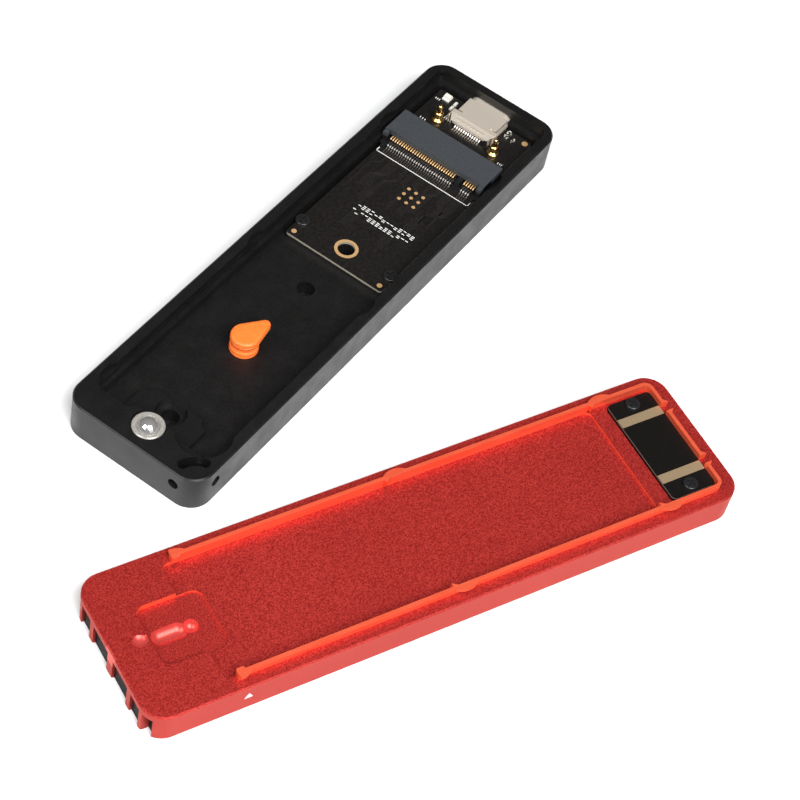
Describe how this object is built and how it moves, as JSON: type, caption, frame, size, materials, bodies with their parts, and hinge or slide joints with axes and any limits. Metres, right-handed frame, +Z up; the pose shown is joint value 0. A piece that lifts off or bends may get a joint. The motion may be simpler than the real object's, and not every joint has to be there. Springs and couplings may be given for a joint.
{
  "type": "solid state drive enclosure",
  "caption": "Opened pocket enclosure for a plug-in solid state drive: metal base with socket, USB port and soft retaining plug, and a slide-on cover lying on its back.",
  "frame": {"origin": "middle of the base's underside", "axes": "+X along the base towards its USB end, +Z up out of the base; the cover lies on the -Y side, on its back"},
  "size_m": [0.1464, 0.0952, 0.0087],
  "materials": {
    "black_anodised": "satin, bead blasted",
    "red_anodised": "satin, bead blasted",
    "black_board": "solder mask on glass-fibre board",
    "socket_plastic": "moulded, glass filled",
    "dark_plastic": "moulded",
    "gold": "gold plated",
    "tin": "tin plated",
    "steel": "stamped stainless",
    "polished_steel": "polished ball",
    "black_screw": "black zinc",
    "orange_silicone": "soft, slightly clear",
    "heat_pad_grey": "soft thermal pad",
    "smoked_acrylic": "smoked",
    "white_part": "ceramic and epoxy",
    "white_ink": "printed"
  },
  "bodies": {
    "base": {"base_shell": "black_anodised", "main_board": "black_board", "board_screws": "black_screw", "board_gilding": "gold", "bridge_chip": "dark_plastic", "heat_pad": "heat_pad_grey", "board_chips": "white_part", "status_light": "white_part", "socket_body": "socket_plastic", "socket_upper_contacts": "gold", "socket_lower_contacts": "tin", "usb_shell": "steel", "usb_tongue": "dark_plastic", "usb_contacts": "tin", "usb_bracket": "steel", "pin_barrels": "gold", "pin_spring_left": "steel", "pin_spring_right": "steel", "detent_body": "steel", "detent_spring": "steel"},
    "detent_ball": {"detent_ball": "polished_steel"},
    "pin_left": {"pin_plunger_left": "gold"},
    "pin_right": {"pin_plunger_right": "gold"},
    "plug": {"retaining_plug": "orange_silicone"},
    "cover": {"cover_shell": "red_anodised", "contact_board": "black_board", "contact_strips": "gold", "contact_board_screws": "black_screw", "light_bars": "smoked_acrylic", "cover_lights": "white_part", "arrow_mark": "white_ink"}
  },
  "joints": [
    {"name": "cover_turn", "type": "hinge", "parent": "base", "child": "cover", "pos_m": [-0.0059, -0.02592, 0.0102], "axis": [-0.9751, 0.2219, 0], "range_deg": [0, 180]},
    {"name": "detent_press", "type": "slide", "parent": "base", "child": "detent_ball", "axis": [0, 0, 1], "range_m": [-0.0008, 0], "stiffness_N_per_m": 5000, "deforming": ["detent_spring"]},
    {"name": "pin_left_press", "type": "slide", "parent": "base", "child": "pin_left", "axis": [0, 0, 1], "range_m": [-0.001, 0], "stiffness_N_per_m": 400, "deforming": ["pin_spring_left"]},
    {"name": "pin_right_press", "type": "slide", "parent": "base", "child": "pin_right", "axis": [0, 0, 1], "range_m": [-0.001, 0], "stiffness_N_per_m": 400, "deforming": ["pin_spring_right"]},
    {"name": "plug_pull", "type": "slide", "parent": "base", "child": "plug", "axis": [0, 0, 1], "range_m": [0, 0.005]}
  ]
}
